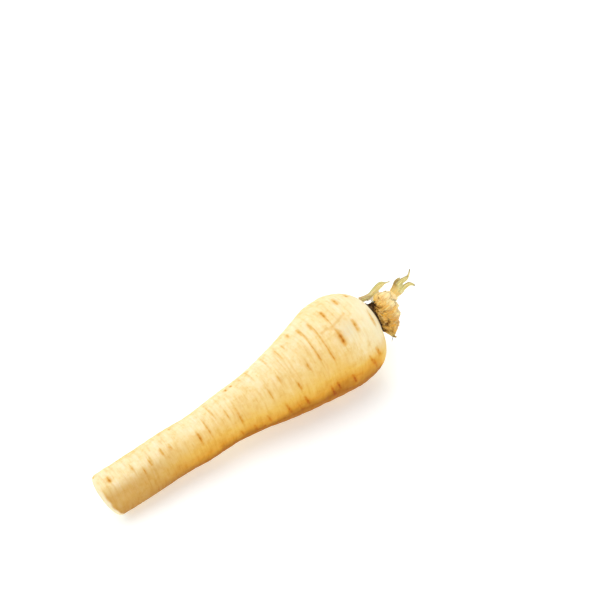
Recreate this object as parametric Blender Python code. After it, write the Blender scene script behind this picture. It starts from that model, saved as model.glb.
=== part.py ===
"""A parsnip as picked and trimmed, lying on its side.

The root's axis runs from the cut tip, near -X, to the crown, near +X. Lengths are in
millimetres up to the point where a mesh is made, which is in metres. A place on the root
is given by its distance from the cut tip and its angle round the axis, which goes from +Y
up over +Z. A place on the crown is given along the axis from the floor of the crown's
hollow, and across it towards the two directions at the angles ASIDE and FACING.
"""

import math
import random

import bmesh
import bpy
from mathutils import Vector, noise

MM = 0.001

# The root's radius by distance from the cut tip, up to its widest place.
RADII = (
    (0, 14.2), (36, 14.6), (76, 15.3), (102, 18.0), (119, 21.1), (133, 23.8), (148, 27.2), (166, 30.0),
)
WIDEST, WIDEST_RADIUS = RADII[-1]

# Past its widest place the root closes in a blunt dome that ends at the crown's rim.
DOME_LENGTH = 30.0
DOME_POWER = 2.36
RIM_RADIUS = 12.9
HOLLOW_RADIUS = 11.7
HOLLOW_DEPTH = 3.1

# The axis rises from the tip to the crown, and bends a little sideways on its way.
TIP_HEIGHT = 13.6
WIDEST_HEIGHT = 29.4
BEND = (
    (0, 0.0), (22, 0.0), (44, 0.2), (64, -0.8), (84, 0.4), (117, -0.7), (143, 1.0), (166, 2.9), (196, 4.3),
)

# The tip is cut aslant, towards the angle CUT_SIDE, and its edge is a little rounded.
CUT_SLANT = 0.4
CUT_SIDE = 110.0
CUT_LONGER = 1.4
CUT_FADE = 25.0
CUT_EDGE = 1.2

LOBE_SHARE = 0.03

# Low on one side the shoulder swells: height, distance, angle, and its reach in both.
SWELLING = (1.8, 187, 187, 9, 32)
ROOT_SEGMENTS = 48
ROW_STEP = 2.15
DOME_ROWS = 12

# Directions round the axis in degrees: ASIDE is level with the picture's upper left.
ASIDE = 34.0
FACING = ASIDE + 90.0

# Scars on the seen side: distance from the tip, angle, length round the root, depth.
SCARS = (
    (3, 91, 5, 0.5), (17, 96, 4, 0.3), (23, 119, 5, 0.3), (28, 108, 4, 0.3), (37, 105, 6, 0.6),
    (43, 106, 5, 0.4), (60, 124, 9, 0.7), (67, 110, 13, 0.5), (74, 85, 12, 0.4), (81, 114, 8, 0.4),
    (84, 170, 4, 0.3), (87, 132, 11, 0.6), (93, 183, 6, 0.3), (100, 57, 6, 0.3), (106, 52, 5, 0.3),
    (109, 124, 7, 0.5), (116, 171, 9, 0.4), (118, 110, 6, 0.4), (118, 66, 11, 0.3), (122, 173, 5, 0.3),
    (126, 139, 7, 0.4), (127, 73, 11, 0.3), (127, 171, 6, 0.6), (132, 70, 6, 0.4), (137, 123, 8, 0.4),
    (139, 61, 5, 0.5), (145, 100, 24, 0.5), (146, 185, 8, 0.5), (149, 172, 6, 0.5), (152, 105, 30, 0.6),
    (160, 177, 6, 0.4), (162, 86, 14, 0.5), (162, 117, 12, 0.8), (174, 74, 7, 0.6), (174, 116, 9, 0.7),
    (176, 176, 8, 0.5), (180, 163, 7, 0.6), (187, 123, 8, 0.3), (188, 40, 4, 0.3),
)
HIDDEN_SCARS = 34
HIDDEN_ANGLES = (216, 390)
HIDDEN_STRETCH = (12, 180)
GOLDEN_TURN = 0.618034

# The stub of leaf bases: its radius along the crown's axis, and how far its torn edge stands.
STUB_RADII = ((0, 9.2), (5, 9.2), (9, 9.9), (14, 10.8), (18, 11.0), (22, 10.3), (27, 9.2))
STUB_LENGTH = 18.6
STUB_MIDDLE_END = 19.8
STUB_LONGER = 3.2
STUB_LONG_SIDE = 30.0
STUB_LEAN = ((0, 0.0), (4.5, 0.0), (9, 1.8), (13, 2.1), (18, 1.4), (25, 0.8))
LIP_ANGLE = 214.0
LIP_FLARE = 3.4
STUB_SEGMENTS = 60
STUB_RIBS = 20
SHEATH_SUNK = 1.7
GAP = 0.35


def smooth_curve(points, end_slope=None):
    """A function through the points, with no kinks, that goes on straight past the last one."""
    xs = [x for x, _ in points]
    ys = [y for _, y in points]
    last = len(points) - 1
    slopes = []
    for i in range(len(points)):
        before, after = max(i - 1, 0), min(i + 1, last)
        slopes.append((ys[after] - ys[before]) / (xs[after] - xs[before]))
    if end_slope is not None:
        slopes[last] = end_slope

    def value(x):
        if x >= xs[last]:
            return ys[last] + slopes[last] * (x - xs[last])
        i = max(k for k in range(last) if xs[k] <= max(x, xs[0]))
        span = xs[i + 1] - xs[i]
        t = (x - xs[i]) / span
        rest = 1 - t
        return (
            ys[i] * (1 + 2 * t) * rest**2
            + ys[i + 1] * (3 - 2 * t) * t**2
            + slopes[i] * span * t * rest**2
            - slopes[i + 1] * span * rest * t**2
        )

    return value


def ease(x, start, end):
    """Goes smoothly from 0 at start to 1 at end."""
    t = min(max((x - start) / (end - start), 0.0), 1.0)
    return t * t * (3 - 2 * t)


def turned(angle, other):
    """The angle from other to angle in degrees, between -180 and 180."""
    return (angle - other + 180) % 360 - 180


AXIS = Vector((WIDEST, 0, WIDEST_HEIGHT - TIP_HEIGHT)).normalized()
LEVEL = Vector((0, 1, 0))
UPWARD = AXIS.cross(LEVEL)

radius_before_dome = smooth_curve(RADII, end_slope=0.0)
sideways = smooth_curve(BEND)


def centre(distance):
    rise = (WIDEST_HEIGHT - TIP_HEIGHT) / WIDEST
    return Vector((distance, sideways(distance), TIP_HEIGHT + rise * distance))


def outward(angle):
    turn = math.radians(angle)
    return math.cos(turn) * LEVEL + math.sin(turn) * UPWARD


def dome_place(turn):
    """Distance and radius on the dome, at 0 on the widest place and at pi / 2 on the axis."""
    distance = WIDEST + DOME_LENGTH * math.sin(turn) ** (2 / DOME_POWER)
    return distance, WIDEST_RADIUS * math.cos(turn) ** (2 / DOME_POWER)


RIM_TURN = math.acos((RIM_RADIUS / WIDEST_RADIUS) ** (DOME_POWER / 2))
RIM_DISTANCE = dome_place(RIM_TURN)[0] + 0.3
HOLLOW_FLOOR = RIM_DISTANCE - HOLLOW_DEPTH


def all_scars():
    """The seen scars, and on the hidden side more of the same, spread by the golden angle."""
    chance = random.Random(11)
    scars = list(SCARS)
    first, last = HIDDEN_ANGLES
    start, end = HIDDEN_STRETCH
    for i in range(HIDDEN_SCARS):
        distance = start + (end - start) * (i + 0.5) / HIDDEN_SCARS
        angle = first + (last - first) * ((i * GOLDEN_TURN) % 1)
        length = chance.uniform(4, 6 + distance / 14)
        scars.append((distance, angle, length, chance.uniform(0.3, 0.6)))
    return scars


def skin_noise(distance, angle, length, around):
    """Smooth noise on the skin, of a given length along the root and rate round it."""
    turn = math.radians(angle)
    where = (distance / length, around * math.cos(turn), around * math.sin(turn))
    return noise.noise(Vector(where))


def lobes(distance, angle):
    """The root isn't quite round: wide swellings, in millimetres."""
    radius = radius_before_dome(min(distance, WIDEST))
    height, place, side, length, width = SWELLING
    swelling = height * math.exp(-(((distance - place) / length) ** 2))
    swelling *= math.exp(-((turned(angle, side) / width) ** 2))
    return LOBE_SHARE * radius * skin_noise(distance, angle, 34, 1.3) + swelling


def wrinkles(distance, angle):
    """Low ridges that run round the root, stronger near the crown."""
    height = 0.16 + 0.22 * ease(distance, 90, 150)
    return height * skin_noise(distance, angle, 3.4, 0.9)


def root_rows():
    """Each row's distance, radius, and how much of the skin's relief it takes."""
    tip = radius_before_dome(0)
    rows = [(0.35, 0.42 * tip, 0), (0.1, 0.55 * tip, 0), (0.0, tip - CUT_EDGE, 0)]
    rows.append((0.3 * CUT_EDGE, tip - 0.3 * CUT_EDGE, 0.3))
    steps = round(WIDEST / ROW_STEP)
    for i in range(steps + 1):
        distance = CUT_EDGE + (WIDEST - CUT_EDGE) * i / steps
        rows.append((distance, radius_before_dome(distance), 1))
    for i in range(1, DOME_ROWS + 1):
        distance, radius = dome_place(RIM_TURN * i / DOME_ROWS)
        rows.append((distance, radius, 1 - ease(i, DOME_ROWS - 2, DOME_ROWS)))
    rows.append((RIM_DISTANCE, (RIM_RADIUS + HOLLOW_RADIUS) / 2, 0))
    rows.append((RIM_DISTANCE - 0.6, HOLLOW_RADIUS, 0))
    rows.append((HOLLOW_FLOOR, HOLLOW_RADIUS, 0))
    rows.append((HOLLOW_FLOOR, 0.5 * HOLLOW_RADIUS, 0))
    return rows


def scar_depths(rows):
    """How deep each scar cuts into the row nearest to it, and the low lips beside it."""
    depths = [[0.0] * ROOT_SEGMENTS for _ in rows]
    skin = [i for i, (_, _, relief) in enumerate(rows) if relief == 1]
    for distance, angle, length, depth in all_scars():
        row = min(skin, key=lambda i: abs(rows[i][0] - distance))
        for k in range(ROOT_SEGMENTS):
            around = math.radians(turned(360 * k / ROOT_SEGMENTS, angle)) * rows[row][1]
            reach = 1 - (around / (length / 2 + 1)) ** 2
            if reach > 0:
                depths[row][k] += depth * math.sqrt(reach)
                depths[row - 1][k] -= 0.25 * depth * reach
                depths[row + 1][k] -= 0.25 * depth * reach
    return depths


def root_point(distance, radius, angle, relief):
    """A point of the skin, with the slant of the cut and the flat spots that it rests on."""
    radius += relief * (lobes(distance, angle) + wrinkles(distance, angle))
    point = centre(distance) + radius * outward(angle)
    slant = CUT_SLANT * radius * math.cos(math.radians(angle - CUT_SIDE))
    point.x -= (CUT_LONGER + slant) * (1 - ease(distance, 0, CUT_FADE))
    point.z = max(point.z, 0.0)
    return point


def add_rings(mesh, rings):
    """Adds the rings of points and the faces between them, and returns the rings' vertices."""
    loops = [[mesh.verts.new(MM * point) for point in ring] for ring in rings]
    count = len(rings[0])
    for one, other in zip(loops, loops[1:]):
        for k in range(count):
            after = (k + 1) % count
            mesh.faces.new((one[k], one[after], other[after], other[k]))
    return loops


def rings_mesh(name, rings, first_point, last_point):
    """A round body from rings of points, closed at both ends by a fan."""
    mesh = bmesh.new()
    loops = add_rings(mesh, rings)
    for loop, point in ((loops[0], first_point), (loops[-1], last_point)):
        middle = mesh.verts.new(MM * point)
        for k in range(len(loop)):
            mesh.faces.new((loop[k], loop[(k + 1) % len(loop)], middle))
    return mesh_object(name, mesh)


def shell_mesh(name, fronts, backs):
    """A thin body from rows of points on its front and on its back."""
    mesh = bmesh.new()
    loops = add_rings(mesh, [front + back[::-1] for front, back in zip(fronts, backs)])
    for loop in (loops[0], loops[-1]):
        last = len(loop) - 1
        for k in range(len(fronts[0]) - 1):
            mesh.faces.new((loop[k], loop[k + 1], loop[last - k - 1], loop[last - k]))
    return mesh_object(name, mesh)


def mesh_object(name, mesh):
    bmesh.ops.recalc_face_normals(mesh, faces=mesh.faces)
    data = bpy.data.meshes.new(name)
    mesh.to_mesh(data)
    mesh.free()
    piece = bpy.data.objects.new(name, data)
    bpy.context.scene.collection.objects.link(piece)
    return piece


def make_root():
    rows = root_rows()
    depths = scar_depths(rows)
    rings = []
    for (distance, radius, relief), cut in zip(rows, depths):
        ring = []
        for k in range(ROOT_SEGMENTS):
            angle = 360 * k / ROOT_SEGMENTS
            ring.append(root_point(distance, radius - cut[k], angle, relief))
        rings.append(ring)
    return rings_mesh("root", rings, centre(0.5 - CUT_LONGER), centre(HOLLOW_FLOOR))


def crown_point(along, aside, facing=0.0):
    """A point by its distance along the crown's axis and towards ASIDE and FACING."""
    middle = centre(HOLLOW_FLOOR) + along * AXIS
    return middle + aside * outward(ASIDE) + facing * outward(FACING)


def crown_ring_point(along, radius, angle):
    return centre(HOLLOW_FLOOR) + along * AXIS + radius * outward(angle)


stub_profile = smooth_curve(STUB_RADII)
stub_lean = smooth_curve(STUB_LEAN)


def stub_point(along, radius, angle):
    """A point of the stub, whose middle leans away from ASIDE."""
    return crown_ring_point(along, radius, angle) - stub_lean(along) * outward(ASIDE)


def lip_share(angle):
    return math.exp(-((turned(angle, LIP_ANGLE) / 38) ** 2))


def stub_end(angle):
    """How far the stub's torn edge stands from the floor of the crown's hollow."""
    longer = STUB_LONGER * math.cos(math.radians(angle - STUB_LONG_SIDE))
    turn = math.radians(angle)
    torn = 1.1 * noise.noise(Vector((3.1 * math.cos(turn), 3.1 * math.sin(turn), 4.7)))
    teeth = 0.5 * math.cos(STUB_RIBS * turn)
    return STUB_LENGTH + longer + torn + teeth


def stub_radius(along, angle):
    """The stub's radius, with its ribs and with the lip where it bulges low on one side."""
    flare = LIP_FLARE * lip_share(angle) * ease(along, 6.5, 12) * (1 - ease(along, 11.5, 16.5))
    turn = math.radians(angle)
    rib_depth = 0.1 + 0.3 * ease(along, 3, 9)
    ribs = rib_depth * math.cos(STUB_RIBS * turn + 1.5 * math.sin(along / 5))
    swelling = 0.5 * noise.noise(Vector((along / 7, 1.7 * math.cos(turn), 1.7 * math.sin(turn))))
    return stub_profile(along) + flare + ribs + swelling * ease(along, 4, 10)


def make_stub_core():
    """The barrel of leaf bases, whose end shows their torn layers as rough rings."""
    base = GAP
    rings = []
    side_rows = 10
    for i in range(side_rows + 1):
        ring = []
        for k in range(STUB_SEGMENTS):
            angle = 360 * k / STUB_SEGMENTS
            along = base + (stub_end(angle) - base) * i / side_rows
            ring.append(stub_point(along, stub_radius(along, angle), angle))
        rings.append(ring)
    layers = ((0.9, 0.2), (0.78, -0.9), (0.66, 0.5), (0.5, -0.7), (0.36, 0.6), (0.16, 0.2))
    for share, raised in layers:
        ring = []
        for k in range(STUB_SEGMENTS):
            angle = 360 * k / STUB_SEGMENTS
            edge = stub_end(angle)
            along = STUB_MIDDLE_END + (edge - STUB_MIDDLE_END) * share**2 + raised
            along += 0.5 * noise.noise(Vector((5 * share, angle / 23, 1.5)))
            ring.append(stub_point(along, share * stub_radius(edge, angle), angle))
        rings.append(ring)
    last_point = crown_point(STUB_MIDDLE_END, -stub_lean(STUB_MIDDLE_END))
    return rings_mesh("crown_stub", rings, crown_point(base, 0), last_point)


def smooth_route(points, count):
    """Points read from a smooth curve through the route's own points."""
    last = len(points) - 1
    route = []
    for i in range(count):
        place = last * i / (count - 1)
        k = min(int(place), last - 1)
        t = place - k
        before, start, end, after = (points[min(max(k + j, 0), last)] for j in (-1, 0, 1, 2))
        into, out_of = (end - before) / 2, (after - start) / 2
        route.append(
            start * (1 + 2 * t) * (1 - t) ** 2
            + end * (3 - 2 * t) * t**2
            + into * t * (1 - t) ** 2
            - out_of * (1 - t) * t**2
        )
    return route


def blade(name, route, widths, thickness, cup, facing, columns=4):
    """A closed strip along a route. Its width lies across facing, and it bulges by cup."""
    fronts, backs = [], []
    for i, middle in enumerate(route):
        along = (route[min(i + 1, len(route) - 1)] - route[max(i - 1, 0)]).normalized()
        across = along.cross(facing).normalized()
        face = across.cross(along)
        share = i / (len(route) - 1)
        width = widths(share)
        front, back = [], []
        for k in range(columns + 1):
            side = 2 * k / columns - 1
            point = middle + across * (side * width / 2) + face * (cup * width * (1 - side**2))
            slim = thickness * (1 - 0.45 * side**2) * min(1, 0.45 + width / 4)
            front.append(point + face * slim / 2)
            back.append(point - face * slim / 2)
        fronts.append(front)
        backs.append(back)
    return shell_mesh(name, fronts, backs)


def sheath(angle, spread, start, end, stand, point_height):
    """A leaf base's torn sheath: a curved scale whose foot is sunk in the stub's side."""
    columns, rows, thickness = 6, 5, 1.0
    fronts, backs = [], []
    for i in range(rows + 1):
        share = i / rows
        outer, inner = [], []
        for k in range(columns + 1):
            side = 2 * k / columns - 1
            place = angle + side * spread * (1 - 0.35 * share**2)
            top = end - point_height * abs(side) ** 1.5 - 0.7 * (k % 2)
            along = start + (top - start) * share
            radius = stub_radius(along, place) - SHEATH_SUNK + (SHEATH_SUNK + stand) * share
            outer.append(stub_point(along, radius + thickness / 2, place))
            inner.append(stub_point(along, radius - thickness / 2, place))
        fronts.append(outer)
        backs.append(inner)
    return shell_mesh("sheath", fronts, backs)


# Angle, spread to each side, start and end along the axis, how proud, how pointed.
SHEATHS = (
    (356, 20, 10.0, 19.0, 0.9, 2.6),
    (38, 18, 9.6, 17.4, 2.8, 2.4),
    (44, 15, 13.0, 21.6, 0.9, 2.4),
    (72, 19, 11.0, 21.6, 1.2, 2.0),
    (104, 20, 10.0, 20.8, 0.9, 3.0),
    (146, 22, 11.5, 18.8, 0.8, 2.4),
    (208, 24, 7.6, 11.6, 2.4, 2.4),
    (258, 20, 9.6, 16.6, 1.0, 3.2),
    (308, 25, 8.5, 17.0, 1.2, 4.0),
)


def peg(name, start, end, radius):
    """A round peg from start to end, or the plain hole for it where the radius has a gap."""
    mesh = bmesh.new()
    bmesh.ops.create_cone(
        mesh, cap_ends=True, segments=12, radius1=MM * radius, radius2=MM * radius,
        depth=MM * (end - start).length,
    )
    piece = mesh_object(name, mesh)
    way = (end - start).normalized()
    piece.data.transform(way.to_track_quat("Z", "Y").to_matrix().to_4x4())
    for vertex in piece.data.vertices:
        vertex.co += MM * (start + end) / 2
    return piece


def applied(piece):
    """Turns the piece's modifiers into its own mesh."""
    graph = bpy.context.evaluated_depsgraph_get()
    data = bpy.data.meshes.new_from_object(piece.evaluated_get(graph))
    piece.modifiers.clear()
    piece.data = data


def join_by_union(piece, others):
    """One Boolean union of the piece with all the others, which are then removed."""
    group = bpy.data.collections.new(piece.name + "_joined")
    bpy.context.scene.collection.children.link(group)
    for other in others:
        bpy.context.scene.collection.objects.unlink(other)
        group.objects.link(other)
    union = piece.modifiers.new("join", "BOOLEAN")
    union.operation = "UNION"
    union.operand_type = "COLLECTION"
    union.collection = group
    applied(piece)
    for other in others:
        bpy.data.objects.remove(other)
    bpy.data.collections.remove(group)


def cut_hole(piece, cutter):
    cutter.hide_render = True
    cutter.display_type = "WIRE"
    hole = piece.modifiers.new("hole", "BOOLEAN")
    hole.operation = "DIFFERENCE"
    hole.object = cutter
    applied(piece)
    bpy.data.objects.remove(cutter)


# Each stalk stands on a peg in the stub: its two ends and its radius.
LEFT_PEG = (crown_point(10.6, 4.5, 1.4), crown_point(10.6, 13.0, 1.4), 1.1)
RIGHT_PEG = (crown_point(14.6, 4.2, 4.8), crown_point(25.4, 6.9, 6.4), 1.6)


def make_crown_stub():
    stub = make_stub_core()
    join_by_union(stub, [sheath(*values) for values in SHEATHS])
    for start, end, radius in (LEFT_PEG, RIGHT_PEG):
        way = (end - start).normalized()
        beyond = end + 3 * way
        cut_hole(stub, peg("hole", start - GAP * way, beyond, radius + GAP))
    return stub


def make_leaf_stalk_left():
    """A flat stalk that stands beside the stub, with its foot at the rim and a thin bent tip."""
    places = (
        (3.6, 14.6, 0.8), (7.2, 13.5, 1.4), (11.0, 13.1, 2.0), (14.0, 13.8, 2.4), (17.0, 14.7, 2.6),
        (20.0, 15.2, 2.6), (22.4, 15.0, 2.6), (24.2, 14.4, 2.6), (25.6, 14.1, 2.6), (26.6, 13.8, 2.6),
    )
    route = smooth_route([crown_point(*place) for place in places], 17)
    width_points = (
        (0, 2.6), (0.11, 3.2), (0.22, 3.3), (0.4, 3.9), (0.55, 3.8), (0.64, 2.9), (0.72, 1.3),
        (0.85, 0.8), (1, 0.7),
    )
    widths = smooth_curve(width_points)
    stalk = blade("leaf_stalk_left", route, widths, 1.1, 0.12, outward(FACING))
    join_by_union(stalk, [peg("peg", *LEFT_PEG)])
    return stalk


def make_leaf_stalk_right():
    """A wide stalk, torn at its top into a short lobe, a long thin prong and a curled one."""
    facing = outward(FACING)
    base = ((23.2, 6.1, 6.2), (25.6, 6.8, 6.6), (28.6, 7.9, 7.2), (31.0, 8.9, 7.6))
    lobe = ((25.6, 8.8, 6.2), (28.0, 10.6, 6.8), (30.1, 11.6, 7.2), (31.8, 12.0, 7.2))
    thin = ((27.6, 9.1, 7.8), (31.6, 10.1, 8.2), (35.0, 10.3, 8.6), (37.4, 11.2, 9.0), (40.0, 13.8, 9.2))
    curled = ((26.6, 5.2, 7.4), (31.0, 6.1, 8.0), (34.2, 6.3, 8.6), (36.2, 5.1, 8.8), (37.3, 3.6, 8.8))
    shapes = (
        ("leaf_stalk_right", base, ((0, 6.0), (0.35, 7.8), (0.8, 8.0), (1, 7.0)), 1.2, 0.12),
        ("lobe", lobe, ((0, 3.0), (0.5, 3.6), (1, 2.0)), 1.3, 0.1),
        ("thin_prong", thin, ((0, 4.0), (0.4, 3.1), (0.62, 1.9), (0.8, 1.1), (1, 0.8)), 1.5, 0.1),
        ("curled_prong", curled, ((0, 3.2), (0.45, 2.8), (0.7, 1.9), (1, 0.9)), 1.4, 0.1),
    )
    blades = []
    for name, places, width_points, thickness, cup in shapes:
        route = smooth_route([crown_point(*place) for place in places], 11)
        blades.append(blade(name, route, smooth_curve(width_points), thickness, cup, facing))
    join_by_union(blades[0], [peg("peg", *RIGHT_PEG), *blades[1:]])
    return blades[0]


def make_crown_soil():
    """A rough ring of soil in the crown's hollow, piled a little way up the stub."""
    segments = 44
    outline = (
        (GAP, 11.35), (2.6, 11.35), (3.3, 11.4), (4.0, 11.0), (4.6, 10.6), (5.0, 10.2), (4.4, 9.9),
        (3.4, 9.8), (GAP, 9.7),
    )
    mesh = bmesh.new()
    rings = []
    for k in range(segments):
        angle = 360 * k / segments
        turn = math.radians(angle)
        ring = []
        for i, (along, radius) in enumerate(outline):
            where = Vector((2.9 * i, 6 * math.cos(turn), 6 * math.sin(turn)))
            rough = 0.7 * noise.noise(where) if along > 3 and radius > 10.4 else 0
            ring.append(mesh.verts.new(MM * crown_ring_point(along + rough, radius + rough / 2, angle)))
        rings.append(ring)
    for k, ring in enumerate(rings):
        other = rings[(k + 1) % segments]
        for i in range(len(outline)):
            after = (i + 1) % len(outline)
            mesh.faces.new((ring[i], ring[after], other[after], other[i]))
    return mesh_object("crown_soil", mesh)


def finish(piece, colour, roughness):
    piece.data.shade_smooth()
    piece.data.set_sharp_from_angle(angle=math.radians(50))
    material = bpy.data.materials.new(piece.name)
    material.use_nodes = True
    shader = material.node_tree.nodes["Principled BSDF"]
    shader.inputs["Base Color"].default_value = (*colour, 1)
    shader.inputs["Roughness"].default_value = roughness
    piece.data.materials.clear()
    piece.data.materials.append(material)


def centre_on_origin(pieces):
    """Shifts every piece sideways, so that the box round them all is centred over the origin."""
    corners = [vertex.co for piece in pieces for vertex in piece.data.vertices]
    shift = Vector((0, 0, 0))
    for axis in (0, 1):
        values = [corner[axis] for corner in corners]
        shift[axis] = -(min(values) + max(values)) / 2
    for piece in pieces:
        for vertex in piece.data.vertices:
            vertex.co += shift


def main():
    for leftover in list(bpy.data.objects):
        bpy.data.objects.remove(leftover)
    looks = (
        (make_root(), (0.84, 0.66, 0.32), 0.6),
        (make_crown_stub(), (0.62, 0.40, 0.16), 0.8),
        (make_crown_soil(), (0.08, 0.04, 0.02), 0.95),
        (make_leaf_stalk_left(), (0.72, 0.66, 0.30), 0.65),
        (make_leaf_stalk_right(), (0.66, 0.56, 0.20), 0.65),
    )
    for piece, colour, roughness in looks:
        finish(piece, colour, roughness)
    centre_on_origin([piece for piece, _, _ in looks])


main()
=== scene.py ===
"""The looks of a parsnip that lies on its side on a pale floor.

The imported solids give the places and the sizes. Each is replaced by a finer piece made by
the same rules, with its relief, its scars and its torn edges. Lengths are in millimetres up
to the point where a mesh is made. A place on the root is its distance from the cut tip and
its angle round the axis, from +Y up over +Z. A place on the crown is given along the
crown's axis and towards the two directions at the angles ASIDE and FACING.
"""

import math
import random

import bmesh
import bpy
import numpy as np
from mathutils import Euler, Matrix, Vector, noise


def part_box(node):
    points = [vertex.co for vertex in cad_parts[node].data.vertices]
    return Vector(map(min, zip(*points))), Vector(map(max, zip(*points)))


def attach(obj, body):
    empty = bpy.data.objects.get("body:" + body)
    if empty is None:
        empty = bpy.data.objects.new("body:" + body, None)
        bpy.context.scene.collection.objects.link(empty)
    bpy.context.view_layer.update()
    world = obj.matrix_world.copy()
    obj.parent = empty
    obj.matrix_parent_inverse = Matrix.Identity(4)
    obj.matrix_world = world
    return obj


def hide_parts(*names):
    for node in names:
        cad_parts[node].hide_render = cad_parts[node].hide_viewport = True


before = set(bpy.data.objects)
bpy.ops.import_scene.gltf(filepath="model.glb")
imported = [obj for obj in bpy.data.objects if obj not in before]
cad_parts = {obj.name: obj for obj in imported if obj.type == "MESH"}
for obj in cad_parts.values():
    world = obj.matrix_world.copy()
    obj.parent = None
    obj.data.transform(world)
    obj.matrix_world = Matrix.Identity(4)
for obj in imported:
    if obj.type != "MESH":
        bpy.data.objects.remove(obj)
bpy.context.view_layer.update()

MM = 0.001

# The root's form, as in the solids.
RADII = ((0, 14.2), (36, 14.6), (76, 15.3), (102, 18.0), (119, 21.1), (133, 23.8), (148, 27.2),
         (166, 30.0))
WIDEST, WIDEST_RADIUS = RADII[-1]
DOME_LENGTH = 30.0
DOME_POWER = 2.36
RIM_RADIUS = 12.9
HOLLOW_RADIUS = 11.7
HOLLOW_DEPTH = 3.1
TIP_HEIGHT = 13.6
WIDEST_HEIGHT = 29.4
BEND = ((0, 0.0), (22, 0.0), (44, 0.2), (64, -0.8), (84, 0.4), (117, -0.7), (143, 1.0), (166, 2.9),
        (196, 4.3))
CUT_SLANT = 0.4
CUT_SIDE = 110.0
CUT_LONGER = 1.4
CUT_FADE = 25.0
CUT_EDGE = 1.2
LOBE_SHARE = 0.03
# A swelling at the crown: height, distance, angle, length, width in degrees.
SWELLING = (1.8, 187, 187, 9, 32)
# The two directions square to the axis in which places on the crown are given.
ASIDE = 34.0
FACING = ASIDE + 90.0

# Scars on the seen side: distance from the tip, angle, length round the root, depth.
SCARS = (
    (8, 91, 5, 0.5), (18.6, 99, 4, 0.3), (23, 119, 5, 0.3), (28, 108, 4, 0.3), (37, 105, 6, 0.6),
    (43, 106, 5, 0.4), (60, 124, 9, 0.7), (67, 110, 13, 0.5), (74, 85, 12, 0.4), (81, 114, 8, 0.4),
    (84, 170, 4, 0.3), (87, 132, 11, 0.6), (93, 183, 6, 0.3), (100, 57, 6, 0.3), (106, 52, 5, 0.3),
    (109, 124, 7, 0.5), (116, 171, 9, 0.4), (118, 110, 6, 0.4), (118, 66, 11, 0.3), (122, 173, 5, 0.3),
    (126, 139, 7, 0.4), (127, 73, 11, 0.3), (127, 171, 6, 0.6), (132, 70, 6, 0.4), (137, 123, 8, 0.4),
    (139, 61, 5, 0.5), (145, 100, 24, 0.5), (146, 185, 8, 0.5), (149, 172, 6, 0.5), (152, 105, 30, 0.6),
    (160, 177, 6, 0.4), (162, 86, 14, 0.5), (162, 117, 12, 0.8), (174, 74, 7, 0.6), (174, 116, 9, 0.7),
    (176, 176, 8, 0.5), (180, 163, 7, 0.6), (187, 123, 8, 0.3), (188, 40, 4, 0.3),
)
HIDDEN_SCARS = 34
HIDDEN_ANGLES = (216, 390)
HIDDEN_STRETCH = (12, 180)
GOLDEN_TURN = 0.618034
# Steps that spread places evenly over the skin.
STEP_ALONG, STEP_ROUND = 0.754878, 0.569840

# The darkest spots of the scars: distance, angle, length round the root, width, how brown.
CORES = (
    (8, 92, 5, 0.8, 0.8), (36.8, 106, 4.5, 0.6, 0.6), (60.2, 121, 7, 0.7, 0.8),
    (67, 121, 7, 0.5, 0.5), (87, 139, 7, 0.6, 0.6), (109, 121, 5, 0.6, 0.5),
    (118, 110, 5, 0.6, 0.5), (126.4, 139, 6.6, 0.6, 0.75), (127.4, 168, 10, 0.6, 0.7),
    (136.6, 122, 6, 0.6, 0.6), (139.2, 60, 3.2, 0.7, 0.6), (144.5, 178, 14, 0.7, 0.75),
    (144.6, 75, 8, 0.6, 0.6), (144.9, 119, 8, 0.5, 0.7), (148.9, 173, 9, 0.7, 0.75),
    (151.6, 80, 8, 0.6, 0.5), (151.6, 128, 9, 0.5, 0.65), (159.7, 176, 11, 0.8, 0.8),
    (162.4, 80, 8, 0.8, 0.8), (162.2, 119, 11, 1.3, 1.0), (174.3, 74, 9, 0.9, 0.65),
    (174.2, 116, 11, 1.0, 0.65), (175.6, 172, 8, 0.8, 0.6), (180.8, 163, 9, 0.9, 0.6),
    (188, 120, 10, 0.5, 0.5), (1.0, 53, 3.6, 0.9, 1.0), (18.6, 98, 5, 0.6, 0.5),
    (28, 111, 5, 0.6, 0.6), (42.4, 108, 4, 0.6, 0.6), (49, 57, 3, 0.6, 0.5),
    (66.8, 110, 5, 0.5, 0.5), (84.5, 172, 6, 0.5, 0.5), (90, 59, 4, 0.7, 0.7),
    (94, 57, 4, 0.7, 0.6), (93.5, 178, 8, 0.5, 0.5), (99, 186, 3, 0.6, 0.6),
    (102.5, 170, 8, 0.6, 0.6), (107.5, 53, 4, 0.6, 0.5), (115.2, 168, 11, 0.6, 0.6),
    (174, 165, 10, 0.7, 0.6), (184, 68, 5, 0.8, 0.6),
)

# Fine folds of the skin, each through places given by distance and angle.
FOLDS = (
    ((161, 101), (166, 100), (169.5, 98), (173, 96)),
    ((154.5, 99), (156.5, 99), (158.5, 99), (162.5, 107), (164, 112)),
    ((188.3, 108), (188.2, 118), (187.8, 133)),
)
# A greyish rubbed patch: distance, angle, length along the root, width in degrees.
RUBBED = (168.0, 113.0, 5.0, 13.0)

# Pores and creases that the solids don't hold: how many, from where and how far they reach, where
# their rule starts, and the least and the most of their length, depth, width, stain and lean.
FINE_MARKS = (
    (360, 2, 190, (0, 0), ((1.6, 6.4), (0.02, 0.1), (0.22, 0.4), (0.03, 0.22), (-0.12, 0.12))),
    (70, 8, 176, (0.31, 0.17), ((9, 30), (0.04, 0.13), (0.35, 0.8), (0.02, 0.12), (-0.08, 0.08))),
)

# The skin is wrinkled more deeply from here on.
ROUGHER = (90, 150)

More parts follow.
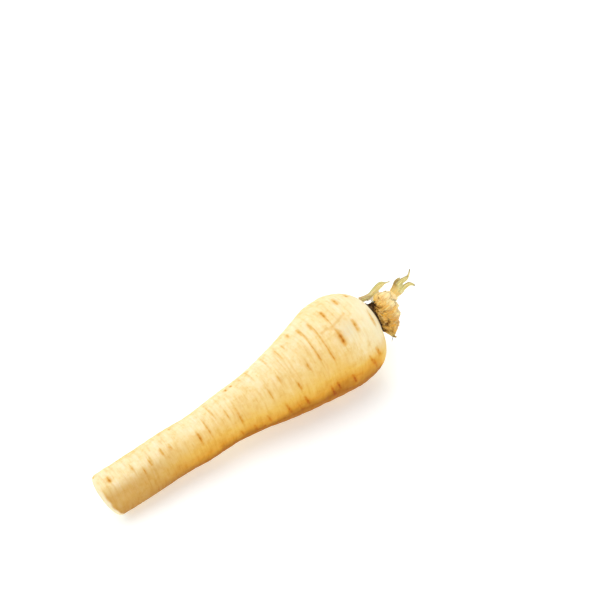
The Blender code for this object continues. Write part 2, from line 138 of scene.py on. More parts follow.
# The skin is palest at this angle and yellower on the lower side, partly its own tone and partly
# painted shade, but less so underneath and on the shoulder, which starts nearer the crown on the
# lower side.
PALE_ANGLE = 70.0
LOWER_SIDE = (78, 102)
UNDERNEATH = (125, 180)
UPPER_EDGE = (6, 24)
SHOULDER = (140, 178)
LOWER_SHOULDER = (178, 190)
TIP_END = (10, 34)
# A painted shadow browns the lower side near the cut tip: over these angles from the palest one,
# up to there.
TIP_SHADOW_STARTS = (25, 68)
TIP_SHADOW_ENDS = (130, 175)
TIP_SHADOW_FADES = (15, 64)
# Painted light, paler where the dome turns from the light near the crown's edge: its start, its
# middle angle and how it ends to each side.
PAINTED_RIM_LIGHT = (172, 187)
PAINTED_RIM_LIGHT_ANGLE = 118
PAINTED_RIM_LIGHT_ENDS = (28, 52)

# How finely the skin is made.
SKIN_SEGMENTS = 276
SKIN_STEP = 0.62
DOME_STEPS = 54
FACE_RINGS = 15

# The stub of leaf bases, as in the solids.
STUB_RADII = ((0, 9.2), (5, 9.2), (9, 9.9), (14, 10.8), (18, 11.0), (22, 10.3), (27, 9.2))
STUB_LENGTH = 18.6
STUB_MIDDLE_END = 19.8
STUB_LONGER = 3.2
STUB_LONG_SIDE = 30.0
STUB_LEAN = ((0, 0.0), (4.5, 0.0), (9, 1.8), (13, 2.1), (18, 1.4), (25, 0.8))
LIP_ANGLE = 214.0
LIP_FLARE = 3.4
STUB_RIBS = 20
SHEATH_SUNK = 1.7
GAP = 0.35
STUB_SEGMENTS = 480
STUB_SIDE_ROWS = 66
STUB_END_ROWS = 30
# The stub's material is told the height as a share of this.
STUB_REACH = 25.0
# The soil reaches furthest up the stub at this angle, within so many degrees.
SOIL_SIDE, SOIL_SPREAD = 50.0, 38.0

# Loose fibres along the stub, at its torn edge and round its torn foot, and crumbs of soil.
FIBRES = 330
FRINGE = 130
TORN_FIBRES = 110
FIBRE_POINTS = 7
CRUMBS = 260


def smooth_step(start, end, into, out_of, t):
    """Between start at t = 0 and end at t = 1, with these slopes at the two."""
    rest = 1 - t
    return (start * (1 + 2 * t) * rest**2 + end * (3 - 2 * t) * t**2
            + into * t * rest**2 - out_of * rest * t**2)


def smooth_curve(points, end_slope=None):
    """A function of an array through the points, straight past the last one."""
    xs, ys = np.array(points, float).T
    slopes = np.empty(len(xs))
    slopes[1:-1] = (ys[2:] - ys[:-2]) / (xs[2:] - xs[:-2])
    slopes[0] = (ys[1] - ys[0]) / (xs[1] - xs[0])
    slopes[-1] = (ys[-1] - ys[-2]) / (xs[-1] - xs[-2]) if end_slope is None else end_slope

    def value(x):
        x = np.asarray(x, float)
        i = np.clip(np.searchsorted(xs, x, side="right") - 1, 0, len(xs) - 2)
        span = xs[i + 1] - xs[i]
        t = np.clip((x - xs[i]) / span, 0, 1)
        inside = smooth_step(ys[i], ys[i + 1], slopes[i] * span, slopes[i + 1] * span, t)
        return inside + slopes[-1] * np.maximum(x - xs[-1], 0)

    return value


def smooth_route(points, count):
    """Points read from a smooth curve through the route's own points."""
    points = np.array(points, float)
    last = len(points) - 1
    place = np.linspace(0, last, count)
    k = np.minimum(place.astype(int), last - 1)
    before, start = points[np.maximum(k - 1, 0)], points[k]
    end, after = points[k + 1], points[np.minimum(k + 2, last)]
    return smooth_step(start, end, (end - before) / 2, (after - start) / 2, (place - k)[:, None])


def ease(x, start, end):
    """0 up to start, 1 from end, smooth between."""
    t = np.clip((x - start) / (end - start), 0, 1)
    return t * t * (3 - 2 * t)


def turned(angle, other):
    """The angle from another one, between -180 and 180."""
    return (angle - other + 180) % 360 - 180


def unit(vectors):
    return vectors / np.linalg.norm(vectors, axis=-1, keepdims=True)


def bell(x, width):
    return np.exp(-((x / width) ** 2))


def noise_of(x, y, z):
    """Smooth noise over arrays of places, about -1 to 1."""
    x, y, z = np.broadcast_arrays(x, y, z)
    flat = [noise.noise(Vector(place)) for place in zip(x.ravel(), y.ravel(), z.ravel())]
    return np.array(flat).reshape(x.shape)


def ring_noise(along, turn, grain):
    """Noise that closes round an axis: finer round it where grain is larger."""
    return noise_of(along, grain * np.cos(turn), grain * np.sin(turn))


AXIS = np.array(Vector((WIDEST, 0, WIDEST_HEIGHT - TIP_HEIGHT)).normalized())
LEVEL = np.array((0.0, 1.0, 0.0))
UPWARD = np.cross(AXIS, LEVEL)

body_radius = smooth_curve(RADII, end_slope=0.0)
sideways = smooth_curve(BEND)
stub_profile = smooth_curve(STUB_RADII)
stub_lean = smooth_curve(STUB_LEAN)


def centre(distance):
    """The middle of the root at a distance from the cut tip."""
    distance = np.asarray(distance, float)
    rise = (WIDEST_HEIGHT - TIP_HEIGHT) / WIDEST
    return np.stack([distance, sideways(distance), TIP_HEIGHT + rise * distance], axis=-1)


def outward(angle):
    """The direction square to the axis at an angle."""
    turn = np.radians(np.asarray(angle, float))[..., None]
    return np.cos(turn) * LEVEL + np.sin(turn) * UPWARD


def dome_place(turn):
    """Distance and radius on the blunt shoulder, from its widest place at 0 towards its top."""
    distance = WIDEST + DOME_LENGTH * np.sin(turn) ** (2 / DOME_POWER)
    return distance, WIDEST_RADIUS * np.cos(turn) ** (2 / DOME_POWER)


RIM_TURN = math.acos((RIM_RADIUS / WIDEST_RADIUS) ** (DOME_POWER / 2))
RIM_DISTANCE = float(dome_place(RIM_TURN)[0]) + 0.3
HOLLOW_FLOOR = RIM_DISTANCE - HOLLOW_DEPTH
CROWN = centre(HOLLOW_FLOOR)


def crown_route(places, count):
    """Points of a smooth route through places on the crown."""
    aside, facing = outward(ASIDE), outward(FACING)
    points = [CROWN + along * AXIS + x * aside + y * facing for along, x, y in places]
    return smooth_route(points, count)


def crown_ring_points(along, radius, angle):
    return CROWN + np.asarray(along)[..., None] * AXIS + np.asarray(radius)[..., None] * outward(angle)


def stub_points(along, radius, angle):
    """Points of the stub, whose middle leans away from ASIDE."""
    lean = stub_lean(along)[..., None] * outward(ASIDE)
    return crown_ring_points(along, radius, angle) - lean


def all_scars():
    """The seen scars, and on the hidden side more of the same, spread by the golden angle."""
    chance = random.Random(11)
    scars = list(SCARS)
    first, last = HIDDEN_ANGLES
    start, end = HIDDEN_STRETCH
    for i in range(HIDDEN_SCARS):
        distance = start + (end - start) * (i + 0.5) / HIDDEN_SCARS
        angle = first + (last - first) * ((i * GOLDEN_TURN) % 1)
        length = chance.uniform(4, 6 + distance / 14)
        scars.append((distance, angle, length, chance.uniform(0.3, 0.6)))
    return scars


def skin_noise(distance, angle, length, grain, offset=0.0):
    return ring_noise(distance / length + offset, np.radians(angle), grain)


def root_grid():
    """Distance, radius and share of relief of every row of the fine skin, tip to crown."""
    flat = float(body_radius(0)) - CUT_EDGE
    rows = [(0.0, flat * i / FACE_RINGS, 0.0) for i in range(1, FACE_RINGS + 1)]
    for i in range(1, 4):
        turn = math.pi / 2 * i / 4
        rows.append((CUT_EDGE * (1 - math.cos(turn)), flat + CUT_EDGE * math.sin(turn), 0.3 * i / 4))
    steps = round((WIDEST - CUT_EDGE) / SKIN_STEP)
    for distance in np.linspace(CUT_EDGE, WIDEST, steps + 1):
        rows.append((distance, float(body_radius(distance)), 1.0))
    for i in range(1, DOME_STEPS + 1):
        distance, radius = dome_place(RIM_TURN * i / DOME_STEPS)
        rows.append((distance, radius, 1 - 0.8 * float(ease(i, DOME_STEPS - 8, DOME_STEPS))))
    rows += [
        (RIM_DISTANCE + 0.05, RIM_RADIUS - 0.5, 0.1),
        (RIM_DISTANCE - 0.2, HOLLOW_RADIUS + 0.15, 0.0),
        (RIM_DISTANCE - 0.9, HOLLOW_RADIUS, 0.0),
        (HOLLOW_FLOOR, HOLLOW_RADIUS, 0.0),
        (HOLLOW_FLOOR, 0.4 * HOLLOW_RADIUS, 0.0),
    ]
    return [np.array(column)[:, None] for column in zip(*rows)]


def add_slit(distance, angle, row_radius, slit, height, brown, halo):
    """Cuts one slit across the root into height, and stains the skin in it and round it.

    A slit has a distance, an angle, a length round the root, a depth, a width, how brown its stain
    is, and how far it leans along the root.
    """
    at, around, length, depth, width, stain, lean = slit
    arc = np.radians(turned(angle, around)) * row_radius
    near = np.abs(distance[:, 0] - at) < 6 * width + abs(lean) * length
    if not near.any():
        return
    arc = arc[near]
    across = (distance[near] - at - lean * arc) / width
    reach = np.clip(1 - (arc / (length / 2)) ** 2, 0, 1) ** 0.8
    uneven = 0.8 + 0.2 * np.cos(1.9 * arc + 3 * at)
    groove = bell(across, 1.0) * reach
    lips = 0.38 * (bell(across - 2.0, 0.9) + bell(across + 2.0, 0.9)) * reach
    height[near] += depth * (lips - groove)
    brown[near] = np.maximum(brown[near], stain * uneven * bell(across, 0.9) * reach)
    halo[near] = np.maximum(halo[near], stain * bell(across, 3.0) * reach)


def add_fold(distance, angle, row_radius, places, height, halo):
    """Presses a fine fold into height along a line through the places."""
    route = smooth_route(places, 6 * len(places))
    nearest = np.full(halo.shape, 99.0)
    for at, around in route:
        arc = np.radians(turned(angle, around)) * row_radius
        nearest = np.minimum(nearest, np.hypot(distance - at, arc))
    height -= 0.2 * bell(nearest, 0.7)
    np.maximum(halo, 0.95 * bell(nearest, 1.0), out=halo)


def skin_relief(distance, angle, row_radius):
    """Height of the skin in millimetres, and how brown and how ochre the scars make it."""
    shape = np.broadcast_shapes(distance.shape, angle.shape)
    height, brown, halo = np.zeros(shape), np.zeros(shape), np.zeros(shape)
    chance = random.Random(5)
    scars = all_scars()
    slits = []

    def leaning(around):
        return chance.uniform(-0.05, 0.05) + 0.2 * float(ease(around, 125, 165))

    for at, around, length, depth in scars:
        width = 0.36 + 0.2 * depth
        lean = leaning(around)
        slits.append((at, around, 1.25 * length, 0.3 * depth, width, 0.3 + 0.4 * depth, lean))
        slits.append((at, around, 2.1 * length, 0.08, 0.4, 0.2, lean))
    for at, around, length, width, stain in CORES:
        slits.append((at, around, length, 0.18 * width, width, stain, leaning(around)))
    for at, around, length, depth in scars[len(SCARS):]:
        core = 0.4 + 0.8 * depth
        slits.append((at, around + chance.uniform(-4, 4), 0.5 * length, 0.2, core, core, 0.0))
    for count, first, reach, (start, start_round), ranges in FINE_MARKS:
        for i in range(count):
            at = first + reach * ((i * STEP_ALONG + start) % 1)
            around = 360 * ((i * STEP_ROUND + start_round) % 1)
            slits.append((at, around, *(chance.uniform(*limits) for limits in ranges)))
    for slit in slits:
        add_slit(distance, angle, row_radius, slit, height, brown, halo)
    for places in FOLDS:
        add_fold(distance, angle, row_radius, places, height, halo)
    return height, np.clip(brown, 0, 1), np.clip(halo, 0, 1)


def new_object(name, data):
    made = bpy.data.objects.new(name, data)
    bpy.context.scene.collection.objects.link(made)
    return made


def mesh_piece(name, points, faces, masks=None):
    """A smooth-shaded mesh object from points in millimetres, with named masks per point."""
    data = bpy.data.meshes.new(name)
    data.from_pydata((np.asarray(points) * MM).tolist(), [], faces)
    for label, values in (masks or {}).items():
        layer = data.attributes.new(label, "FLOAT", "POINT")
        layer.data.foreach_set("value", np.asarray(values, np.float32).ravel())
    data.validate()
    data.shade_smooth()
    return new_object(name, data)


def band_faces(row, other, count):
    """Faces between two rings of points that start at these two numbers."""
    pairs = [(k, (k + 1) % count) for k in range(count)]
    return [(row + k, row + after, other + after, other + k) for k, after in pairs]


def ring_faces(rings, count, start=0):
    """Faces between rings of the same number of points, and a fan at each end."""
    faces = []
    for row in range(start, start + (rings - 1) * count, count):
        faces += band_faces(row, row + count, count)
    first, row = start + rings * count, start + (rings - 1) * count
    for k in range(count):
        after = (k + 1) % count
        faces.append((start + after, start + k, first))
        faces.append((row + k, row + after, first + 1))
    return faces


def wrapped(front, back=None):
    """A grid that runs across a shell's front and back over its other side."""
    return np.concatenate([front, (front if back is None else back)[:, ::-1]], axis=1)


def with_ends(grid):
    """Points or masks of a grid of rings in one row, then the means of its two end rings."""
    flat = grid.reshape(-1, *grid.shape[2:])
    return np.concatenate([flat, grid[:1].mean(axis=1), grid[-1:].mean(axis=1)])


def skin_tones(distance, angle):
    """Skin masks: yellow and painted shade, painted shadow at the tip, painted light, rubbed, stained.
    """
    around = turned(angle, PALE_ANGLE)
    away = np.abs(around)
    # low: the skin yellower towards the lower side, partly its own tone and partly painted shade.
    low = 0.5 - 0.5 * np.cos(np.radians(away))
    low = low * np.where(around > 0, 1 - 0.58 * ease(away, *UNDERNEATH), 0.42)
    below = ease(away, *LOWER_SIDE)
    near_crown = (1 - below) * ease(distance, *SHOULDER) + below * ease(distance, *LOWER_SHOULDER)
    low = low * (1 - 0.65 * near_crown)
    low = low * (1 - 0.15 * (1 - ease(distance, *TIP_END))) + 0.06 * ease(-around, *UPPER_EDGE)
    # A painted shadow on the lower side near the cut tip.
    tan = ease(around, *TIP_SHADOW_STARTS) * (1 - ease(around, *TIP_SHADOW_ENDS)) * (1 - ease(distance, *TIP_SHADOW_FADES))
    place, side, length, width = RUBBED
    rubbed = bell(distance - place, length) * bell(turned(angle, side), width)
    # Painted light on part of the dome by the crown's edge.
    from_rim = np.abs(turned(angle, PAINTED_RIM_LIGHT_ANGLE))
    rim = ease(distance, *PAINTED_RIM_LIGHT) * (1 - ease(from_rim, *PAINTED_RIM_LIGHT_ENDS))
    crown = ease(distance, RIM_DISTANCE - 5, RIM_DISTANCE)
    return {"low": low, "tan": tan, "rubbed": rubbed, "rim": rim, "crown": crown}


def make_root():
    distance, radius, share = root_grid()
    angle = np.arange(SKIN_SEGMENTS)[None, :] * 360 / SKIN_SEGMENTS
    lobes = LOBE_SHARE * body_radius(np.minimum(distance, WIDEST))
    lobes = lobes * skin_noise(distance, angle, 34, 1.3)
    height, place, side, length, width = SWELLING
    lobes = lobes + height * bell(distance - place, length) * bell(turned(angle, side), width)
    rougher = ease(distance, *ROUGHER)
    wrinkles = (0.16 + 0.22 * rougher) * skin_noise(distance, angle, 3.4, 0.9)
    fine = (0.05 + 0.05 * rougher) * skin_noise(distance, angle, 1.15, 1.6, 9.0)
    relief, brown, halo = skin_relief(distance, angle, radius)
    full = radius + share * (lobes + wrinkles + fine + relief)
    points = centre(distance) + full[..., None] * outward(angle)
    slant = CUT_LONGER + CUT_SLANT * full * np.cos(np.radians(angle - CUT_SIDE))
    points[..., 0] -= slant * (1 - ease(distance, 0, CUT_FADE))
    on_face = (distance == 0) & (share == 0)
    face_share = radius / body_radius(0)
    heart = 0.25 * bell(face_share - 0.47, 0.05) - 0.3 * bell(face_share, 0.3)
    grain = 0.16 * ring_noise(face_share * 6, np.radians(angle), 5)
    points[..., 0] -= np.where(on_face, heart + grain * (1 - face_share**6), 0)
    points[..., 2] = np.maximum(points[..., 2], 0.0)
    worn = 2.2 + 0.9 * skin_noise(distance, angle, 2.0, 4.0, 3.0)
    cut = 1 - ease(distance / worn, 0.7, 1.2)
    layers = {"brown": brown * share, "halo": halo * share, "cut": cut, "cut_share": face_share}
    layers.update(skin_tones(distance, angle))
    masks = {label: with_ends(values * np.ones_like(full)) for label, values in layers.items()}
    faces = ring_faces(full.shape[0], SKIN_SEGMENTS)
    return mesh_piece("root_skin", with_ends(points), faces, masks)


def stub_end(angle):
    """Where the stub's torn edge lies along the axis."""
    longer = STUB_LONGER * np.cos(np.radians(angle - STUB_LONG_SIDE))
    turn = np.radians(angle)
    torn = 1.1 * noise_of(3.1 * np.cos(turn), 3.1 * np.sin(turn), 4.7)
    return STUB_LENGTH + longer + torn + 0.5 * np.cos(STUB_RIBS * turn)


def stub_radius(along, angle):
    lip = bell(turned(angle, LIP_ANGLE), 38)
    flare = LIP_FLARE * lip * ease(along, 6.5, 12) * (1 - ease(along, 11.5, 16.5))
    turn = np.radians(angle)
    rib_depth = 0.1 + 0.15 * ease(along, 3, 9)
    ribs = rib_depth * np.cos(STUB_RIBS * turn + 1.5 * np.sin(along / 5))
    swelling = 0.5 * ring_noise(along / 7, turn, 1.7)
    return stub_profile(along) + flare + ribs + swelling * ease(along, 4, 10)


def crevices(along, angle):
    """Where the stub is torn open between its soil and its middle, 0 to 1."""
    turn = np.radians(angle)
    slanted = along - 0.035 * turned(angle, 120)
    rents = noise_of(slanted * 0.6, 3.4 * np.cos(turn), 3.4 * np.sin(turn) + 3)
    splits = ring_noise(slanted * 0.4 + 8, turn, 9)
    zone = ease(along, 4.5, 6.5) * (1 - ease(along, 9.0, 12.5))
    return zone * np.maximum(ease(rents, 0.12, 0.38), 0.8 * ease(splits, 0.2, 0.42))


def fibre_relief(along, angle, height):
    """Fine ridges that run along the stub and narrow slits between them."""
    turn = np.radians(angle)
    drift = 1.2 * ring_noise(along / 6, turn, 2)
    bundles = noise_of(along / 12, 13 * np.cos(turn) + drift, 13 * np.sin(turn))
    threads = noise_of(along / 7 + 7, 26 * np.cos(turn) + drift, 26 * np.sin(turn))
    torn = 2.0 * crevices(along, angle)
    return height * (0.5 * bundles + 0.7 * (0.5 - 2 * np.abs(threads)) - torn)


def soil_and_shade_share(along, angle):
    """Soil and painted shade on the stub: most at its foot, further up on the upper side, and in its
    rents.
    """
    turn = np.radians(angle)
    top = 5.6 + 4.9 * bell(turned(angle, SOIL_SIDE), SOIL_SPREAD)
    top = top + 2.6 * bell(turned(angle, 205), 20)
    rough = 1.6 * ring_noise(along / 2.5, turn, 4) + 1.4 * ring_noise(along / 1.2 + 4, turn, 11)
    thick = 1 + 1.2 * bell(turned(angle, 40), 45)
    soil = thick * (1 - ease(along + rough, top - 0.9, top + 1.3))
    # In the rents the stub is dark as well, painted shade as much as soil.
    return np.maximum(soil, 0.85 * crevices(along, angle))


def stub_masks(height, dirt, fan_y, fan_z):
    """What the stub's material reads: its height, its soil and painted shade, and the way its fibres
    fan out.
    """
    layers = {"height": height / STUB_REACH, "dirt": dirt, "fan_y": fan_y, "fan_z": fan_z}
    return {label: with_ends(values) for label, values in layers.items()}


def make_stub_core():
    angle = np.arange(STUB_SEGMENTS) * 360 / STUB_SEGMENTS
    turn = np.radians(angle)
    fray = 0.9 * noise_of(11 * np.cos(turn), 11 * np.sin(turn), 2.0)
    fray += 0.6 * noise_of(30 * np.cos(turn), 30 * np.sin(turn), 5.0)
    fray += 0.3 * np.cos(80 * turn + 2 * np.sin(3 * turn))
    end = stub_end(angle) + fray
    share = np.linspace(0, 1, STUB_SIDE_ROWS)[:, None]
    along = GAP + (end - GAP) * share
    angles = np.broadcast_to(angle, along.shape)
    radius = stub_radius(along, angles) - 0.25 * share**12
    radius = radius + fibre_relief(along, angles, 0.1 + 0.34 * ease(along, 4, 11))
    side = stub_points(along, radius, angles)
    inner = np.linspace(0.985, 0.03, STUB_END_ROWS)[:, None]
    layers = 0.8 * np.cos(2 * math.pi * (4.3 * inner + 0.12 * np.sin(3 * turn)))
    rough = noise_of(9 * inner, 6 * inner * np.cos(turn), 6 * inner * np.sin(turn))
    cap_along = STUB_MIDDLE_END + (end - STUB_MIDDLE_END) * inner**2
    cap_along = cap_along + (layers + 0.9 * rough) * (1 - inner**8) - 1.0 * bell(inner, 0.25)
    cap_radius = inner * radius[-1] + 0.25 * rough * (1 - inner**8)
    cap = stub_points(cap_along, cap_radius, np.broadcast_to(angle, cap_along.shape))
    grid = np.concatenate([side, cap])
    height = np.concatenate([along, cap_along])
    dirt = np.concatenate([soil_and_shade_share(along, angles), 0 * cap_along])
    spread = np.concatenate([np.ones_like(along), inner * np.ones_like(cap_along)])
    masks = stub_masks(height, dirt, spread * np.cos(turn), spread * np.sin(turn))
    return with_ends(grid), grid.shape[:2], masks


# Torn scales of leaf base, four round the right stalk's foot and one by the left stalk: places
# on the crown, then the width at the start, the middle and the end.
TORN_SCALES = (
    (((15.5, 4.2, 5.6), (18.4, 4.6, 6.0), (20.8, 4.9, 6.4), (23.4, 5.3, 6.8)), (6.0, 7.2, 6.6)),
    (((14.4, 8.2, 4.0), (17.6, 7.8, 4.6), (20.6, 7.2, 5.2), (23.2, 6.6, 5.8)), (4.5, 5.0, 3.4)),
    (((13.5, -0.6, 9.0), (16.6, -0.6, 8.8), (19.2, -0.5, 8.5), (21.2, -0.4, 8.2)), (4.4, 4.8, 3.6)),
    (((12.5, -4.0, 8.0), (15.6, -4.0, 7.8), (18.0, -3.9, 7.5), (20.0, -3.8, 7.2)), (4.4, 4.8, 3.4)),
    (((11.6, 8.2, 2.6), (13.4, 9.8, 2.4), (15.4, 10.5, 2.2), (18.2, 10.1, 2.2)), (2.8, 3.4, 2.2)),
)

# The leaf bases round the stub: angle, spread to each side, start and end along the axis, how
# proud, how pointed.
SHEATHS = (
    (356, 20, 10.0, 19.0, 0.9, 2.6),
    (38, 18, 9.6, 17.4, 2.8, 2.4),
    (44, 15, 13.0, 21.6, 0.9, 2.4),
    (72, 19, 11.0, 21.6, 1.2, 2.0),
    (104, 20, 10.0, 20.8, 0.9, 3.0),
    (146, 22, 11.5, 18.8, 0.8, 2.4),
    (208, 24, 7.6, 11.6, 2.4, 2.4),
    (258, 20, 9.6, 16.6, 1.0, 3.2),
    (308, 25, 8.5, 17.0, 1.2, 4.0),
)


def make_sheath(angle, spread, start, end, stand, point_height, seed):
    """A torn scale of leaf base, as a closed thin shell with a frayed upper edge."""
    columns, rows, thickness = 36, 24, 0.8
    side = np.linspace(-1, 1, columns)[None, :]
    share = np.linspace(0, 1, rows)[:, None]
    place = angle + side * spread * (1 - 0.35 * share**2)
    fray = 1.2 * noise_of(side * 5 + seed, seed * 1.7, 0.5) + 1.0 * noise_of(side * 16, seed * 2.3, 3.5)
    top = end - point_height * np.abs(side) ** 1.5 + fray
    along = start + (top - start) * share
    radius = stub_radius(along, place) - SHEATH_SUNK + (SHEATH_SUNK + stand) * share
    radius = radius + fibre_relief(along, place, 0.2) - 0.5 * stand * side**4 * share
    slim = thickness * (1 - 0.75 * share**2) * (1 - 0.5 * side**2) / 2
    outer = stub_points(along, radius + slim, place)
    inner = stub_points(along, radius - slim, place)
    grid = wrapped(outer, inner)
    turn = np.radians(wrapped(place))
    dirt = wrapped(soil_and_shade_share(along, place))
    masks = stub_masks(wrapped(along), dirt, np.cos(turn) + seed, np.sin(turn))
    return with_ends(grid), grid.shape[:2], masks


def make_thread(points, thickness, normal, height, dirt, fan=0.0, sides=4):
    """One loose fibre along the points, thinner towards its end."""
    points = np.asarray(points, float)
    along = unit(np.gradient(points, axis=0))
    across = unit(np.cross(along, normal))
    other = np.cross(across, along)
    around = 2 * math.pi * np.arange(sides) / sides
    radius = thickness / 2 * np.linspace(1, 0.35, len(points))[:, None, None]
    cosine, sine = np.cos(around)[None, :, None], np.sin(around)[None, :, None]
    grid = points[:, None] + radius * (cosine * across[:, None] + sine * other[:, None])
    flat = np.ones(grid.shape[:2])
    masks = stub_masks(flat * height, flat * dirt, flat * fan, flat * fan)
    return with_ends(grid), grid.shape[:2], masks


# The thread that hangs from the stub's lower lip: places on the crown.
HANGING = ((13.0, -14.9, 0.5), (12.2, -16.0, 0.4), (10.7, -16.5, 0.2), (9.3, -17.5, 0.0),
           (7.8, -18.8, 0.0))


def fibres_on_stub():
    """Loose fibres along the stub, at its torn edge and round its foot, and a hanging thread."""
    chance = random.Random(23)
    share = np.linspace(0, 1, FIBRE_POINTS)
    threads = []

    def add(i, along, radius, places, cling, power, widths, side):
        dirt = np.maximum(cling * chance.random() ** power, soil_and_shade_share(along, places))[:, None]
        points = stub_points(along, radius, places)
        thickness, normal = chance.uniform(*widths), outward(side)
        threads.append(make_thread(points, thickness, normal, along[3], dirt, 0.37 * i))

    for i in range(FIBRES + FRINGE):
        angle = 360 * ((i * GOLDEN_TURN) % 1)
        if i < FIBRES:
            start, length = chance.uniform(3.0, 15.0), chance.uniform(3.0, 8.0)
            lift = 0.12 + chance.uniform(0.0, 0.7) * share**2
        else:
            edge = float(stub_end(np.array(angle)))
            start = edge - chance.uniform(2.0, 5.0)
            length = edge + chance.uniform(-0.6, 1.0) - start
            lift = 0.05 + chance.uniform(-0.9, 0.4) * share**2
        along = start + length * share
        places = angle + chance.uniform(-14, 14) * share + 2.5 * np.sin(5 * share + i)
        edges = stub_end(places)
        along = np.minimum(along, edges + 1.0)
        radius = stub_radius(np.minimum(along, edges), places) + lift
        add(i, along, radius, places, 0.75, 3, (0.18, 0.46), angle)
    for i in range(TORN_FIBRES):
        start = 360 * ((i * GOLDEN_TURN) % 1)
        places = start + chance.uniform(14, 34) * share
        along = chance.uniform(5.4, 11.0) + chance.uniform(0.2, 2.6) * share
        arch = chance.uniform(0.1, 0.5) * np.sin(math.pi * share)
        radius = stub_radius(along, places) + 0.05 + arch
        add(i, along, radius, places, 0.55, 2, (0.25, 0.55), start + 12)
    points = crown_route(HANGING, 14)
    threads.append(make_thread(points, 0.6, outward(FACING), 12.0, 1.6, sides=6))
    return threads


def torn_scale(places, widths, seed):
    """A scale of leaf base that stands off the stub along a route."""
    points, shape, leaf = blade(places, 36, [*zip((0, 0.5, 1), widths)], 0.8, 0.14, 6, seed)
    height = (points - CROWN) @ AXIS / STUB_REACH
    fan = 0.4 * leaf["side"] + seed
    return points, shape, {"height": height, "dirt": 0 * height, "fan_y": fan, "fan_z": 0 * height}


def joined_piece(name, bodies):
    """One object from several closed bodies of rings."""
    faces, start = [], 0
    for points, (rings, count), _ in bodies:
        faces += ring_faces(rings, count, start)
        start += len(points)
    points, _, masks = zip(*bodies)
    joined = {label: np.concatenate([values[label] for values in masks]) for label in masks[0]}
    return mesh_piece(name, np.concatenate(points), faces, joined)


def make_stub():
    bodies = [make_stub_core()]
    bodies += [make_sheath(*values, seed=3.1 * i) for i, values in enumerate(SHEATHS)]
    bodies += [torn_scale(*values, seed=0.3 * i) for i, values in enumerate(TORN_SCALES)]
    bodies += fibres_on_stub()
    return joined_piece("crown_stub_fine", bodies)


def blade(places, count, widths, thickness, cup, ridges, seed,
          stained=0.0, stain_side=-0.4, pale=0.0, dark_tip=1.0, foot=0.0, foot_length=1.0, knot=9.0):
    """A closed strip along a route on the crown: cupped, ridged lengthways, torn at its end.

    The last seven values say how far it is stained brown and on which side, pale, dark at its tip
    or at a knot, and coloured at its foot.
    """
    columns = 26
    route = crown_route(places, count)
    along = unit(np.gradient(route, axis=0))
    across = unit(np.cross(along, outward(FACING)))
    face = np.cross(across, along)
    share = np.linspace(0, 1, count)[:, None]
    side = np.linspace(-1, 1, columns)[None, :]
    uneven = noise_of(share * 7 + seed, np.sign(side) * seed, 2.5)
    width = smooth_curve(widths)(share) * (1 + 0.07 * uneven)
    torn = 0.8 * noise_of(side * 4 + seed, seed * 1.3, 1.5) * share**8
    ripple = 0.14 * noise_of(share * 9 + seed, side * 2, seed)
    groove = 0.1 * np.cos(ridges * math.pi * side + seed) * ease(share, 0, 0.15)
    groove = groove * np.minimum(1, width / 3)
    lift = cup * width * (1 - side**2) + groove + ripple
    slim = thickness * (1 - 0.45 * side**2) * np.minimum(1, 0.45 + width / 4)
    slim = slim * (1 - 0.3 * share**2)
    middle = route[:, None] + across[:, None] * (side * width / 2)[..., None]
    middle = middle + along[:, None] * torn[..., None]
    front = middle + face[:, None] * (lift + slim / 2)[..., None]
    back = middle + face[:, None] * (lift - slim / 2)[..., None]
    grid = wrapped(front, back)
    layers = {
        "side": side,
        "run": share + seed,
        "stain": stained * bell(side - stain_side, 0.45) * (1 - ease(share, 0.65, 0.95)),
        "tip": dark_tip * np.maximum(ease(share, 0.8, 1.0), 0.8 * bell(share - knot, 0.035)),
        "pale": pale,
        "foot": foot * (1 - ease(share / foot_length, 0.14, 0.28)),
    }
    over = np.ones(front.shape[:2])
    masks = {label: with_ends(wrapped(values * over)) for label, values in layers.items()}
    return with_ends(grid), grid.shape[:2], masks


# The stalks' routes and pegs, as places on the crown.
LEFT_STALK = (
    (3.6, 14.6, 0.8), (7.2, 13.5, 1.4), (11.0, 13.1, 2.0), (14.0, 13.8, 2.4), (17.0, 14.7, 2.6),
    (20.0, 15.2, 2.6), (22.4, 15.0, 2.6), (24.2, 14.4, 2.6), (25.6, 14.1, 2.6), (26.6, 13.8, 2.6),
)
LEFT_FOOT = ((3.4, 14.0, 0.4), (5.4, 13.3, 1.0), (8.0, 12.7, 1.5), (11.0, 12.4, 2.0))
LEFT_WEB = ((7.6, 11.5, 1.2), (10.2, 11.3, 1.6), (12.8, 11.4, 1.8), (15.4, 12.0, 2.0))
RIGHT_BASE = ((23.2, 6.1, 6.2), (25.6, 6.8, 6.6), (28.6, 7.9, 7.2), (31.0, 8.9, 7.6))
RIGHT_LOBE = ((25.6, 8.8, 6.2), (28.0, 10.6, 6.8), (30.1, 11.6, 7.2), (31.8, 12.0, 7.2))
THIN_PRONG = ((27.6, 9.1, 7.8), (31.6, 10.1, 8.2), (35.0, 10.3, 8.6), (37.4, 11.2, 9.0),
              (40.0, 13.8, 9.2))
CURLED_PRONG = ((26.6, 5.2, 7.4), (31.0, 6.1, 8.0), (34.2, 6.3, 8.6), (36.2, 5.1, 8.8),
                (37.3, 3.6, 8.8))
LEFT_PEG = ((10.6, 8.4, 1.4), (10.6, 10.8, 1.4), (10.6, 13.0, 1.4))
RIGHT_PEG = ((20.4, 5.7, 5.6), (22.8, 6.3, 6.0), (25.4, 6.9, 6.4))


def make_peg(places, radius, pale):
    """The short round foot by which a stalk stands in the stub."""
    points = crown_route(places, 6)
    body_points, shape, _ = make_thread(points, 2 * radius, outward(FACING + 40), 0, 0, sides=16)
    flat = np.zeros(len(body_points))
    masks = {label: flat for label in ("side", "run", "stain", "tip", "foot")}
    return body_points, shape, {**masks, "pale": flat + pale}


